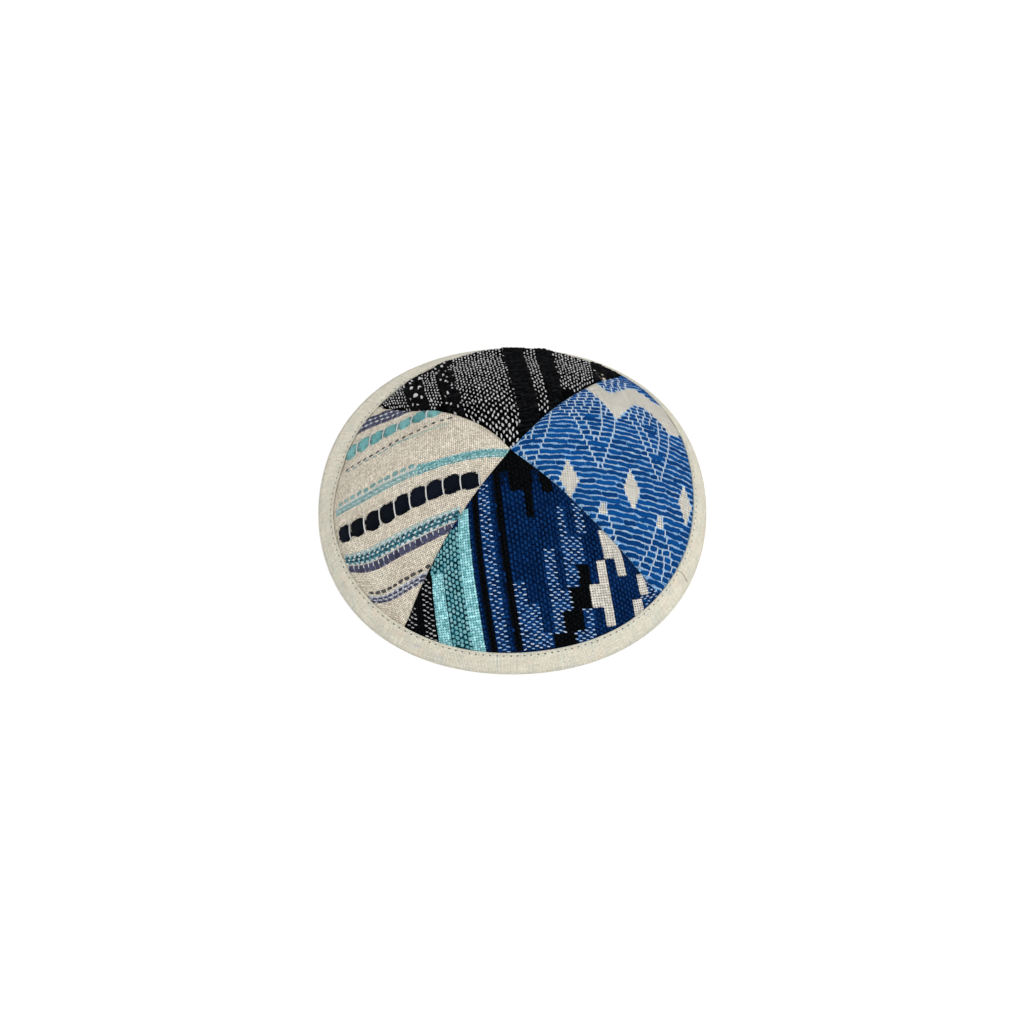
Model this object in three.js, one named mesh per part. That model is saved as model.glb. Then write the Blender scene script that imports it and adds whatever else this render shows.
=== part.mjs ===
// A skullcap of four woven panels, sewn edge to edge up to the crown and bound at the rim with folded tape.
// Millimetres, +Z up. The rim rests on z = 0, the origin is the centre of the rim, and the front is -Y.

import * as THREE from 'three';

// Driving dimensions of the whole cap
const capWidth = 190;          // across the rim, side to side
const capDepth = 185.6;        // across the rim, front to back
const capHeight = 53.5;        // rim plane to crown, before the seams pull in
const rimFullness = 0.024;     // how far the rim swells past an ellipse, between its quarter points

// Cloth of the panels
const clothThickness = 1.2;
const tipRadius = 0.9;         // where a panel's tip ends, short of the crown
const sewnGap = 0.3;           // between neighbouring panels, and between a panel and the tape

// Tape that binds the rim: folded, with one wall outside the cloth and one inside
const tapeWidth = 11.2;        // outer wall, fold to stitched edge
const tapeInnerWidth = 9.6;    // inner wall, fold to edge
const tapeThickness = 1;
const foldRadius = 0.8;        // how far the fold is rounded off where it rests

// Profile of the dome: lift = (1 - reach ^ domeFullness) ^ domeShoulder
const domeFullness = 2.06;
const domeShoulder = 0.9;
const heldShare = 0.05;        // next to the tape the cloth neither sinks nor swells
const crownShiftX = -1;        // the soft crown leans a little to the left
const crownShiftY = -1.5;      // and to the front

// The seams pull the cloth in along a shallow valley
const seamDip = 1.1;
const seamReach = 7;           // half width of the valley

// Facets
const ringSteps = 96;
const domeRows = 15;
const tuckedRows = 2;
const panelColumns = 16;
const columnCrowding = 0.5;    // 0 spaces the columns evenly, 1 crowds them towards the seams

// One row a seam, counter-clockwise from the right. Degrees: where it meets the rim, how far it bows
// halfway up, and how far it has turned by the crown.
const seams = [
  { azimuth: 51.6, bow: 0.5, turn: 1 },
  { azimuth: 141.5, bow: 2, turn: -18 },
  { azimuth: 235, bow: -1.5, turn: -1.5 },
  { azimuth: 321.8, bow: -1, turn: 0.5 },
];

// One row a panel, between two seams of the table above
const panels = [
  { name: 'panel_black', from: 0, to: 1, colour: 0x17181c, roughness: 0.9 },
  { name: 'panel_linen', from: 1, to: 2, colour: 0xdccfbd, roughness: 0.88 },
  { name: 'panel_navy', from: 2, to: 3, colour: 0x16294f, roughness: 0.86 },
  { name: 'panel_blue', from: 3, to: 0, colour: 0x1d56a8, roughness: 0.84 },
];

// How flat the tape lies round the rim. Azimuth in degrees, run as a share of the tape's width
const tapeStations = [
  { azimuth: 0, run: 0.54 },
  { azimuth: 25, run: 0.45 },
  { azimuth: 90, run: 0.62 },
  { azimuth: 140, run: 0.84 },
  { azimuth: 165, run: 0.83 },
  { azimuth: 192, run: 0.58 },
  { azimuth: 225, run: 0.6 },
  { azimuth: 258, run: 0.5 },
  { azimuth: 290, run: 0.62 },
  { azimuth: 322, run: 0.64 },
  { azimuth: 345, run: 0.56 },
];

// Soft dents. Azimuth and spread in degrees, reach and width as shares of the way from crown to tape,
// depth as a share of the cap's height, negative where the cloth swells out
const dents = [
  { azimuth: 147, spread: 17, reach: 0.79, width: 0.2, depth: 0.052 },
  { azimuth: 105, spread: 45, reach: 0.95, width: 0.06, depth: -0.024 },
];

const tapeColour = 0xe2dccb;
const tapeRoughness = 0.9;

const fullTurn = 360;
const radians = THREE.MathUtils.degToRad;
const smooth = (share) => THREE.MathUtils.smoothstep(share, 0, 1);

// Signed difference of two azimuths, from -180 to 180
function turnBetween(azimuth, other) {
  return THREE.MathUtils.euclideanModulo(azimuth - other + fullTurn / 2, fullTurn) - fullTurn / 2;
}

// Distance from the axis to the fold of the tape
function rimRadius(azimuth) {
  const angle = radians(azimuth);
  const along = Math.cos(angle) / (capWidth / 2);
  const across = Math.sin(angle) / (capDepth / 2);
  const swell = 1 + rimFullness * Math.sin(2 * angle) ** 2;
  return swell / Math.hypot(along, across);
}

// Share of the tape's width that lies flat at an azimuth, eased between stations
function tapeRun(azimuth) {
  const wrapped = THREE.MathUtils.euclideanModulo(azimuth, fullTurn);
  const next = tapeStations.findIndex((station) => station.azimuth > wrapped);
  const upper = tapeStations[next === -1 ? 0 : next];
  const lower = tapeStations[next === -1 ? tapeStations.length - 1 : next - 1];
  const span = THREE.MathUtils.euclideanModulo(upper.azimuth - lower.azimuth, fullTurn);
  return THREE.MathUtils.lerp(lower.run, upper.run, smooth((wrapped - lower.azimuth) / span));
}

// A point of the tape's section, so far up from the fold and so far in from the outer face.
// The vector's x is the distance from the axis, its y the height.
function tapeSection(azimuth, up, inward) {
  const run = tapeRun(azimuth);
  const rise = Math.sqrt(1 - run * run);
  return new THREE.Vector2(
    rimRadius(azimuth) - up * run - inward * rise,
    up * rise - inward * run,
  );
}

// How far up the tape a line at a depth from its outer face reaches a given height
function upAtHeight(azimuth, inward, height) {
  const run = tapeRun(azimuth);
  return (height + inward * run) / Math.sqrt(1 - run * run);
}

function turned(section, azimuth) {
  const angle = radians(azimuth);
  return new THREE.Vector3(section.x * Math.cos(angle), section.x * Math.sin(angle), section.y);
}

// The panels lie this deep behind the tape's outer face
const clothDepth = tapeThickness + sewnGap;

// The dome before the seams and dents. Reach is 0 at the crown and 1 at the tape's stitched edge.
function domePoint(azimuth, reach) {
  const foot = tapeSection(azimuth, tapeWidth, clothDepth);
  const lift = Math.max(1 - reach ** domeFullness, 0) ** domeShoulder;
  const point = turned(new THREE.Vector2(foot.x * reach, foot.y + (capHeight - foot.y) * lift), azimuth);
  point.x += crownShiftX * lift;
  point.y += crownShiftY * lift;
  return point;
}

function domeNormal(azimuth, reach) {
  const step = 0.004;
  const degreeStep = 0.5;
  const outer = Math.min(reach + step, 1);
  const downhill = domePoint(azimuth, outer).sub(domePoint(azimuth, outer - 2 * step));
  const around = domePoint(azimuth + degreeStep, reach).sub(domePoint(azimuth - degreeStep, reach));
  return downhill.cross(around).normalize();
}

function seamAzimuth(index, reach) {
  const seam = seams[index];
  return seam.azimuth + seam.bow * Math.sin(Math.PI * reach) + seam.turn * (1 - reach) ** 2;
}

// Depth of the seam valleys at a point of the dome
function seamPull(azimuth, reach) {
  const radius = rimRadius(azimuth) * reach;
  const distances = seams.map((seam, index) =>
    Math.abs(radians(turnBetween(azimuth, seamAzimuth(index, reach)))) * radius);
  const share = Math.min(...distances) / seamReach;
  return seamDip * Math.exp(-share * share);
}

function dentDepth(azimuth, reach) {
  return dents.reduce((sum, dent) => {
    const sideways = turnBetween(azimuth, dent.azimuth) / dent.spread;
    const along = (reach - dent.reach) / dent.width;
    return sum + dent.depth * capHeight * Math.exp(-sideways * sideways - along * along);
  }, 0);
}

// Outer face of the cloth above the tape, with the direction that faces out of it
function clothAbove(azimuth, reach) {
  const normal = domeNormal(azimuth, reach);
  const sunk = seamPull(azimuth, reach) + dentDepth(azimuth, reach);
  const settled = sunk * smooth((1 - reach) / heldShare);
  return { point: domePoint(azimuth, reach).addScaledVector(normal, -settled), normal };
}

// Outer face of the cloth that is tucked into the tape. Share is 0 at the stitched edge and 1 at its end.
function clothTucked(azimuth, share) {
  const lowest = upAtHeight(azimuth, clothDepth + clothThickness, tapeThickness + sewnGap);
  const up = THREE.MathUtils.lerp(tapeWidth, lowest, share);
  const run = tapeRun(azimuth);
  const normal = turned(new THREE.Vector2(Math.sqrt(1 - run * run), run), azimuth);
  return { point: turned(tapeSection(azimuth, up, clothDepth), azimuth), normal };
}

function panelColumn(azimuthAt) {
  const column = [];
  for (let row = 0; row <= domeRows; row += 1) {
    const crown = tipRadius / rimRadius(0);
    const reach = THREE.MathUtils.lerp(crown, 1, Math.sin((row / domeRows) * Math.PI / 2));
    column.push(clothAbove(azimuthAt(reach), reach));
  }
  for (let row = 1; row <= tuckedRows; row += 1) {
    column.push(clothTucked(azimuthAt(1), row / tuckedRows));
  }
  return column;
}

function panelGeometry(panel) {
  const outer = [];
  const inner = [];
  for (let index = 0; index <= panelColumns; index += 1) {
    const even = index / panelColumns;
    const crowded = (1 - Math.cos(Math.PI * even)) / 2;
    const across = THREE.MathUtils.lerp(even, crowded, columnCrowding);
    const azimuthAt = (reach) => {
      const margin = THREE.MathUtils.radToDeg(Math.asin(sewnGap / 2 / (rimRadius(0) * reach)));
      const start = seamAzimuth(panel.from, reach);
      const width = THREE.MathUtils.euclideanModulo(seamAzimuth(panel.to, reach) - start, fullTurn);
      return start + THREE.MathUtils.lerp(margin, width - margin, across);
    };
    const column = panelColumn(azimuthAt);
    outer.push(column.map(({ point }) => point));
    inner.push(column.map(({ point, normal }) => point.clone().addScaledVector(normal, -clothThickness)));
  }
  return shellGeometry(outer, inner);
}

function geometryFrom(points, faces) {
  const geometry = new THREE.BufferGeometry().setFromPoints(points);
  geometry.setIndex(faces);
  geometry.computeVertexNormals();
  return geometry;
}

// A sheet with thickness: two grids of points, column by column, closed round their edges
function shellGeometry(outer, inner) {
  const columns = outer.length - 1;
  const rows = outer[0].length - 1;
  const points = [...outer.flat(), ...inner.flat()];
  const front = (column, row) => column * (rows + 1) + row;
  const back = (column, row) => outer.length * (rows + 1) + front(column, row);
  const faces = [];
  for (let column = 0; column < columns; column += 1) {
    for (let row = 0; row < rows; row += 1) {
      faces.push(front(column, row), front(column, row + 1), front(column + 1, row + 1));
      faces.push(front(column, row), front(column + 1, row + 1), front(column + 1, row));
      faces.push(back(column, row), back(column + 1, row + 1), back(column, row + 1));
      faces.push(back(column, row), back(column + 1, row), back(column + 1, row + 1));
    }
  }
  const edge = [];
  for (let row = 0; row < rows; row += 1) edge.push([0, row]);
  for (let column = 0; column < columns; column += 1) edge.push([column, rows]);
  for (let row = rows; row > 0; row -= 1) edge.push([columns, row]);
  for (let column = columns; column > 0; column -= 1) edge.push([column, 0]);
  edge.forEach((here, index) => {
    const next = edge[(index + 1) % edge.length];
    faces.push(front(...next), front(...here), back(...here));
    faces.push(front(...next), back(...here), back(...next));
  });
  return geometryFrom(points, faces);
}

// Corners of the folded tape's section, counter-clockwise with the axis to the left
function bandSection(azimuth) {
  const radius = rimRadius(azimuth);
  const pocketDepth = clothDepth + clothThickness + sewnGap;
  const fullDepth = pocketDepth + tapeThickness;
  return [
    new THREE.Vector2(radius - foldRadius, 0),
    new THREE.Vector2(radius, foldRadius),
    tapeSection(azimuth, tapeWidth, 0),
    tapeSection(azimuth, tapeWidth, tapeThickness),
    tapeSection(azimuth, upAtHeight(azimuth, tapeThickness, tapeThickness), tapeThickness),
    tapeSection(azimuth, upAtHeight(azimuth, pocketDepth, tapeThickness), pocketDepth),
    tapeSection(azimuth, tapeInnerWidth, pocketDepth),
    tapeSection(azimuth, tapeInnerWidth, fullDepth),
    tapeSection(azimuth, upAtHeight(azimuth, fullDepth, 0), fullDepth),
  ];
}

function bandGeometry() {
  const points = [];
  const faces = [];
  const corners = bandSection(0).length;
  for (let step = 0; step < ringSteps; step += 1) {
    const azimuth = (step / ringSteps) * fullTurn;
    points.push(...bandSection(azimuth).map((corner) => turned(corner, azimuth)));
    for (let corner = 0; corner < corners; corner += 1) {
      const here = step * corners + corner;
      const above = step * corners + (corner + 1) % corners;
      const next = ((step + 1) % ringSteps) * corners + corner;
      const nextAbove = ((step + 1) % ringSteps) * corners + (corner + 1) % corners;
      faces.push(here, next, nextAbove);
      faces.push(here, nextAbove, above);
    }
  }
  return geometryFrom(points, faces);
}

function cloth(colour, roughness) {
  return new THREE.MeshStandardMaterial({ color: colour, roughness, metalness: 0 });
}

const group = new THREE.Group();

for (const panel of panels) {
  const mesh = new THREE.Mesh(panelGeometry(panel), cloth(panel.colour, panel.roughness));
  mesh.name = panel.name;
  group.add(mesh);
}

const band = new THREE.Mesh(bandGeometry(), cloth(tapeColour, tapeRoughness));
band.name = 'rim_band';
group.add(band);

export default group;
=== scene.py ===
import math

import bpy
import numpy as np
from mathutils import Matrix, Vector


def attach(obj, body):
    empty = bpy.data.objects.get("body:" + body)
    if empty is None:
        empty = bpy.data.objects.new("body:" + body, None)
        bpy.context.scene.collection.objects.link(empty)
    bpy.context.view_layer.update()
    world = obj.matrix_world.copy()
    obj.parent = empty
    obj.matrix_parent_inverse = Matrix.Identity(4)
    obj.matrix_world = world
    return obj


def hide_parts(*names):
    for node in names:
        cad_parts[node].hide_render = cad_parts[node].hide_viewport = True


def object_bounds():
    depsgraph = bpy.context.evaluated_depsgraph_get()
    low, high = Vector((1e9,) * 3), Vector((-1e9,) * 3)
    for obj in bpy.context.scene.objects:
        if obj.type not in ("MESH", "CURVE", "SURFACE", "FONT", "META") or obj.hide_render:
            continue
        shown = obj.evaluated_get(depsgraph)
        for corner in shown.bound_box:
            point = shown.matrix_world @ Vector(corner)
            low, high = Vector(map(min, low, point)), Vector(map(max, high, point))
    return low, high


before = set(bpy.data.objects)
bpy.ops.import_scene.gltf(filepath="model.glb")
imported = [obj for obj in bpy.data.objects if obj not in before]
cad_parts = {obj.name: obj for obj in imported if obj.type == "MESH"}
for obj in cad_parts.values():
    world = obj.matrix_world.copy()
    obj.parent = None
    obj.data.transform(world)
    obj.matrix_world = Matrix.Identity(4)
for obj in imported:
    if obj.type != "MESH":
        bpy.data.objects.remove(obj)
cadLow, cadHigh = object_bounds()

mm = 0.001
draws = np.random.default_rng(7)
print("kippah: frame loaded")

# The cap's surface, in millimetres. Azimuth runs in degrees from the right, counter-clockwise from above
capShape = dict(
    width=(cadHigh.x - cadLow.x) / mm, depth=(cadHigh.y - cadLow.y) / mm, height=53.5,
    rimFullness=0.024, fullness=2.06, shoulder=0.9, shiftX=-1.0, shiftY=-1.5,
    cloth=1.2, sewnGap=0.3, heldShare=0.05, seamDip=1.1, seamReach=7.0,
)
seams = [
    dict(azimuth=51.6, bow=0.5, turn=1.0),
    dict(azimuth=141.5, bow=2.0, turn=-18.0),
    dict(azimuth=235.0, bow=-1.5, turn=-1.5),
    dict(azimuth=321.8, bow=-1.0, turn=0.5),
]
dents = [
    dict(azimuth=147.0, spread=17.0, reach=0.79, width=0.2, depth=0.052),
    dict(azimuth=105.0, spread=45.0, reach=0.95, width=0.06, depth=-0.024),
]
tapeShape = dict(
    width=11.2, innerWidth=9.6, thickness=1.0, foldRadius=0.8,
    azimuths=[0, 25, 90, 140, 165, 192, 225, 258, 290, 322, 345, 360],
    runs=[0.54, 0.45, 0.62, 0.84, 0.83, 0.58, 0.6, 0.5, 0.62, 0.64, 0.56, 0.54],
)
# What sewing and handling do to the cloth, on top of the cap's main form
handling = dict(
    crease=0.85, creaseReach=1.1, pillow=0.32, pillowAt=3.4, pillowReach=1.9,
    wrinkle=0.16, waves=9, waveLengths=(14, 34), pucker=0.14, puckers=46, puckerReach=6.0,
    backPuff=1.5, backAt=84.0, backSpread=27.0, backUp=4.0, backReach=5.5, heldShare=0.03, crownShare=0.05,
)
clothDepth = tapeShape["thickness"] + capShape["sewnGap"]


def smooth(share):
    share = np.clip(share, 0, 1)
    return share * share * (3 - 2 * share)


def turnBetween(azimuth, other):
    return np.mod(azimuth - other + 180, 360) - 180


def rimRadius(azimuth):
    angle = np.radians(azimuth)
    half = np.hypot(np.cos(angle) * 2 / capShape["width"], np.sin(angle) * 2 / capShape["depth"])
    return (1 + capShape["rimFullness"] * np.sin(2 * angle) ** 2) / half


def tapeRun(azimuth):
    stations = np.array(tapeShape["azimuths"], float)
    runs = np.array(tapeShape["runs"])
    around = np.mod(azimuth, 360)
    lower = np.clip(np.searchsorted(stations, around, side="right") - 1, 0, len(stations) - 2)
    share = smooth((around - stations[lower]) / (stations[lower + 1] - stations[lower]))
    return runs[lower] * (1 - share) + runs[lower + 1] * share


def tapeSection(azimuth, up, inward):  # distance from the axis, and height
    run = tapeRun(azimuth)
    rise = np.sqrt(1 - run * run)
    return rimRadius(azimuth) - up * run - inward * rise, up * rise - inward * run


def dome(azimuth, reach):  # reach is 0 at the crown and 1 at the stitched edge of the tape
    foot, low = tapeSection(azimuth, tapeShape["width"], clothDepth)
    lift = np.clip(1 - reach ** capShape["fullness"], 0, None) ** capShape["shoulder"]
    angle = np.radians(azimuth)
    x = foot * reach * np.cos(angle) + capShape["shiftX"] * lift
    y = foot * reach * np.sin(angle) + capShape["shiftY"] * lift
    return np.stack([x, y, low + (capShape["height"] - low) * lift], -1)


def domeNormal(azimuth, reach):
    outer = np.minimum(reach + 0.004, 1)
    downhill = dome(azimuth, outer) - dome(azimuth, np.maximum(outer - 0.008, 0))
    around = dome(azimuth + 0.5, reach) - dome(azimuth - 0.5, reach)
    normal = np.cross(downhill, around)
    return normal / np.linalg.norm(normal, axis=-1, keepdims=True)


def seamAzimuth(seam, reach):
    return seam["azimuth"] + seam["bow"] * np.sin(np.pi * reach) + seam["turn"] * (1 - reach) ** 2


def seamDistance(azimuth, reach):
    across = [np.abs(turnBetween(azimuth, seamAzimuth(seam, reach))) for seam in seams]
    return np.radians(np.min(across, 0)) * rimRadius(azimuth) * reach


def sewnPoint(azimuth, reach):  # the cap as its main form has it
    pull = capShape["seamDip"] * np.exp(-(seamDistance(azimuth, reach) / capShape["seamReach"]) ** 2)
    for dent in dents:
        sideways = turnBetween(azimuth, dent["azimuth"]) / dent["spread"]
        along = (reach - dent["reach"]) / dent["width"]
        pull = pull + dent["depth"] * capShape["height"] * np.exp(-sideways ** 2 - along ** 2)
    sunk = pull * smooth((1 - reach) / capShape["heldShare"])
    return dome(azimuth, reach) - domeNormal(azimuth, reach) * sunk[..., None]


waves = [
    dict(angle=draws.uniform(0, np.pi), length=draws.uniform(*handling["waveLengths"]),
         phase=draws.uniform(0, 6.3))
    for _ in range(handling["waves"])
]


def clothPoint(azimuth, reach, lift):  # with creases, pillowed edges, wrinkles and puckers
    gap = seamDistance(azimuth, reach)
    held = smooth((1 - reach) / handling["heldShare"])
    crease = handling["crease"] * np.exp(-(gap / handling["creaseReach"]) ** 2)
    crease = crease * smooth(reach / handling["crownShare"])
    pillow = handling["pillow"] * np.exp(-((gap - handling["pillowAt"]) / handling["pillowReach"]) ** 2)
    point = sewnPoint(azimuth, reach)
    wrinkle = 0
    for wave in waves:
        across = point[..., 0] * math.cos(wave["angle"]) + point[..., 1] * math.sin(wave["angle"])
        wrinkle = wrinkle + np.sin(across * 2 * np.pi / wave["length"] + wave["phase"])
    toTape = (1 - reach) * rimRadius(azimuth)
    angle = np.radians(azimuth)
    pucker = np.sin(angle * handling["puckers"] + 2.2 * np.sin(angle * 5))
    sideways = turnBetween(azimuth, handling["backAt"]) / handling["backSpread"]
    raised = (toTape - handling["backUp"]) / handling["backReach"]
    puff = handling["backPuff"] * np.exp(-sideways ** 2 - raised ** 2)
    fine = held * (pillow + puff - crease + handling["wrinkle"] * wrinkle / 2)
    fine = fine + handling["pucker"] * pucker * np.exp(-toTape / handling["puckerReach"])
    return point + domeNormal(azimuth, reach) * (fine + lift)[..., None]


# Flat cloth. u runs across a panel from its middle and v down its weave from the crown, both in millimetres.
# Each yarn is straight in u and v, because that is how the panel was woven before it was cut and sewn
panels = {
    "black": dict(start=seams[0], end=seams[1], node="panel_black", slot="black_cloth"),
    "linen": dict(start=seams[1], end=seams[2], node="panel_linen", slot="linen_cloth"),
    "navy": dict(start=seams[2], end=seams[3], node="panel_navy", slot="navy_cloth"),
    "blue": dict(start=seams[3], end=seams[0], node="panel_blue", slot="blue_cloth"),
}
# The linen's stripes swing back near the tape, most at the panel's right side
linenBow = dict(begins=72.0, ends=99.0, places=[-24, 0, 16, 33, 51, 66], shifts=[0, 2.4, 2.8, 7.6, 12.5, 17])


def panelWidth(panel, reach):
    return np.mod(seamAzimuth(panel["end"], reach) - seamAzimuth(panel["start"], reach), 360)


def measurePanel(panel):  # how far it is down the middle and out to each side, by reach
    reach = np.linspace(0.0015, 1, 400)[:, None]
    shares = np.linspace(0, 1, 81)[None, :]
    start = seamAzimuth(panel["start"], reach)
    points = sewnPoint(start + panelWidth(panel, reach) * shares, reach + 0 * shares)
    steps = np.linalg.norm(np.diff(points, axis=1), axis=-1)
    middle = np.linalg.norm(np.diff(points[:, 40], axis=0), axis=-1)
    panel["reach"] = reach[:, 0]
    panel["down"] = np.concatenate([[0], np.cumsum(middle)])
    panel["left"] = steps[:, :40].sum(1)
    panel["right"] = steps[:, 40:].sum(1)
    panel["length"] = panel["down"][-1]
    panel["middle"] = float(panel["start"]["azimuth"] + panelWidth(panel, 1.0) / 2)


def stripeBow(panel, u, v):
    if panel is not panels["linen"]:
        return 0 * u
    share = np.clip((v - linenBow["begins"]) / (linenBow["ends"] - linenBow["begins"]), 0, None)
    return np.interp(u, linenBow["places"], linenBow["shifts"]) * share ** 2


# Reach and share of a point of the flat cloth, and its distance from the cut edge
def clothPlace(panel, u, v):
    u = u - stripeBow(panel, u, v)
    down = np.hypot(u, v) + 0.01
    for _ in range(14):
        angle = u / np.maximum(down, np.abs(u) / 1.2 + 0.01)
        down = down - (down * np.cos(angle) - v) / (np.cos(angle) + angle * np.sin(angle))
        down = np.maximum(down, 0.01)
    reach = np.interp(down, panel["down"], panel["reach"])
    left = np.interp(down, panel["down"], panel["left"])
    right = np.interp(down, panel["down"], panel["right"])
    edge = np.minimum(np.minimum(u + left, right - u), panel["length"] - down)
    return reach, (u + left) / (left + right), edge


def flatPlace(panel, reach, share):  # the flat cloth's u and v at a place of the sewn panel
    down = np.interp(reach, panel["reach"], panel["down"])
    left = np.interp(reach, panel["reach"], panel["left"])
    right = np.interp(reach, panel["reach"], panel["right"])
    cut = -left + share * (left + right)
    v = down * np.cos(cut / np.maximum(down, 0.5))
    u = cut
    for _ in range(12):
        u = cut + stripeBow(panel, u, v)
    return u, v


for panel in panels.values():
    measurePanel(panel)


# Nodes and colours
def linear(code):
    parts = [int(code[i:i + 2], 16) / 255 for i in (1, 3, 5)]
    return [p / 12.92 if p <= 0.04045 else ((p + 0.055) / 1.055) ** 2.4 for p in parts] + [1]


def addNode(tree, kind, links, output=0, **settings):
    node = tree.nodes.new("ShaderNode" + kind)
    for name, value in settings.items():
        setattr(node, name, value)
    for name, value in links.items():
        if isinstance(value, bpy.types.NodeSocket):
            tree.links.new(value, node.inputs[name])
        else:
            node.inputs[name].default_value = value
    return node.outputs[output]


colourMix = dict(output=2, data_type="RGBA")
colourShade = dict(output=2, data_type="RGBA", blend_type="MULTIPLY")


def newMaterial(name, **values):
    material = bpy.data.materials.new(name)
    material.use_nodes = True
    shader = material.node_tree.nodes["Principled BSDF"]
    for socket, value in values.items():
        shader.inputs[socket.replace("_", " ")].default_value = value
    return material, material.node_tree, shader


# Plain weave over a place in millimetres: its height, its pinholes where painted shade goes, and a tone for
# each crossing
def plainWeave(tree, place, pitch, wobble):
    drift = addNode(tree, "TexNoise", {"Vector": place, "Scale": 0.45, "Detail": 2.0}, 1)
    moved = addNode(
        tree, "VectorMath", {0: drift, 1: (wobble, wobble, 0), 2: place}, operation="MULTIPLY_ADD")
    cells = addNode(tree, "VectorMath", {0: moved, 1: (1 / pitch[0], 1 / pitch[1], 0)}, operation="MULTIPLY")
    # a wave's bands repeat every 2 pi / 20 units at scale 1, so this scale gives one band a cell
    across = addNode(tree, "TexWave", {"Vector": cells, "Scale": math.pi / 10}, 1, bands_direction="X")
    down = addNode(tree, "TexWave", {"Vector": cells, "Scale": math.pi / 10}, 1, bands_direction="Y")
    over = addNode(tree, "TexChecker", {"Vector": cells, "Scale": 1.0}, 1)
    flatWarp = addNode(tree, "Math", {0: down, 1: 0.45, 2: 0.55}, operation="MULTIPLY_ADD")
    flatWeft = addNode(tree, "Math", {0: across, 1: 0.45, 2: 0.55}, operation="MULTIPLY_ADD")
    warp = addNode(tree, "Math", {0: across, 1: flatWarp}, operation="MULTIPLY")
    weft = addNode(tree, "Math", {0: down, 1: flatWeft}, operation="MULTIPLY")
    height = addNode(tree, "Mix", {0: over, 2: weft, 3: warp})
    corner = addNode(tree, "Math", {0: across, 1: down}, operation="MAXIMUM")
    pin = addNode(tree, "MapRange", {"Value": corner, "From Max": 0.62, "To Min": 1.5, "To Max": 0.0})
    crossing = addNode(tree, "VectorMath", {0: cells}, operation="FLOOR")
    return height, pin, addNode(tree, "TexWhiteNoise", {"Vector": crossing})


# Threads differ a little from one to the next, and so does each crossing. Pinholes get painted shade: a
# darker colour multiplied in where the weave dips
def threadTones(tree, place, tone, pinholeShade, colour, look):
    long, short = look["stretch"]
    for stretch in ((long, short, 0), (short, long, 0)):
        along = addNode(tree, "VectorMath", {0: place, 1: stretch}, operation="MULTIPLY")
        thread = addNode(tree, "TexNoise", {"Vector": along, "Scale": 1.0, "Detail": look["detail"]})
        shade = addNode(tree, "MapRange", {
            "Value": thread, "From Min": look["seen"][0], "From Max": look["seen"][1],
            "To Min": look["threads"][0], "To Max": look["threads"][1]})
        colour = addNode(tree, "Mix", {0: 1.0, 6: colour, 7: shade}, **colourShade)
    shade = addNode(tree, "MapRange", {
        "Value": tone, "To Min": look["crossings"][0], "To Max": look["crossings"][1]})
    colour = addNode(tree, "Mix", {0: 1.0, 6: colour, 7: shade}, **colourShade)
    # painted shade: the pinholes' colour is multiplied by a darker one, for the shade inside them
    sunk = addNode(tree, "Mix", {0: 1.0, 6: colour, 7: linear(look["pinholeShade"])}, **colourShade)
    return addNode(tree, "Mix", {0: pinholeShade, 6: colour, 7: sunk}, **colourMix)


# Ground cloth of a panel. zones are the woven blocks of another colour, each from a distance kept on the mesh
def groundCloth(look):
    material, tree, shader = newMaterial(
        look["name"], IOR=1.5, Specular_IOR_Level=look["specular"], Sheen_Weight=look["sheen"],
        Sheen_Roughness=0.5)
    place = addNode(tree, "UVMap", {}, uv_map="ClothLay")
    height, pin, tone = plainWeave(tree, place, look["pitch"], look["wobble"])
    specks = addNode(tree, "TexNoise", {"Vector": place, "Scale": 1.1, "Detail": 3.0})
    blotches = addNode(tree, "TexNoise", {"Vector": place, "Scale": 0.07, "Detail": 3.0})
    patches = addNode(tree, "MapRange", {"Value": blotches, "From Min": 0.35, "From Max": 0.65})
    colour = addNode(
        tree, "Mix", {0: patches, 6: linear(look["colour"]), 7: linear(look["blotch"])}, **colourMix)
    for attribute, code, pale in look["zones"]:
        edge = addNode(tree, "Attribute", {}, 2, attribute_name=attribute)
        ragged = addNode(tree, "Math", {0: specks, 1: 1.3, 2: edge}, operation="MULTIPLY_ADD")
        share = addNode(tree, "MapRange", {"Value": ragged, "From Min": 0.5, "From Max": 0.8})
        dyed = addNode(tree, "Mix", {0: tone, 6: linear(code), 7: linear(pale)}, **colourMix)
        colour = addNode(tree, "Mix", {0: share, 6: colour, 7: dyed}, **colourMix)
    # painted shade in the pinholes, stronger in some places than others
    opened = addNode(tree, "MapRange", {"Value": specks, "From Min": 0.34, "From Max": 0.56, "To Min": 0.35})
    pinholeShade = addNode(tree, "Math", {0: pin, 1: opened}, operation="MULTIPLY", use_clamp=True)
    colour = threadTones(tree, place, tone, pinholeShade, colour, dict(
        stretch=(1.05, 0.06), detail=1.0, seen=(0.3, 0.7), pinholeShade=look["pinholeShade"],
        threads=(1 - look["threads"], 1 + 0.8 * look["threads"]),
        crossings=(1 - look["crossings"], 1 + 0.8 * look["crossings"])))
    tree.links.new(colour, shader.inputs["Base Color"])
    fuzz = addNode(tree, "TexNoise", {"Vector": place, "Scale": 4.0, "Detail": 4.0})
    relief = addNode(tree, "Math", {0: fuzz, 1: 0.4, 2: height}, operation="MULTIPLY_ADD")
    bump = addNode(tree, "Bump", {"Height": relief, "Distance": look["bump"] * mm, "Strength": 1.0})
    tree.links.new(bump, shader.inputs["Normal"])
    rough = addNode(tree, "MapRange", {"Value": height, "To Min": 0.95, "To Max": look["roughness"]})
    tree.links.new(rough, shader.inputs["Roughness"])
    return material


# Raised yarn, spun from short staple fibres: matt, with twisted plies and a little fuzz that catches light
yarnLook = dict(
    stretch=(3.4, 0.8, 1), ply=0.75, groove=0.68, bump=0.22, roughness=0.85, sheen=0.04, specular=0.15,
)


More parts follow.
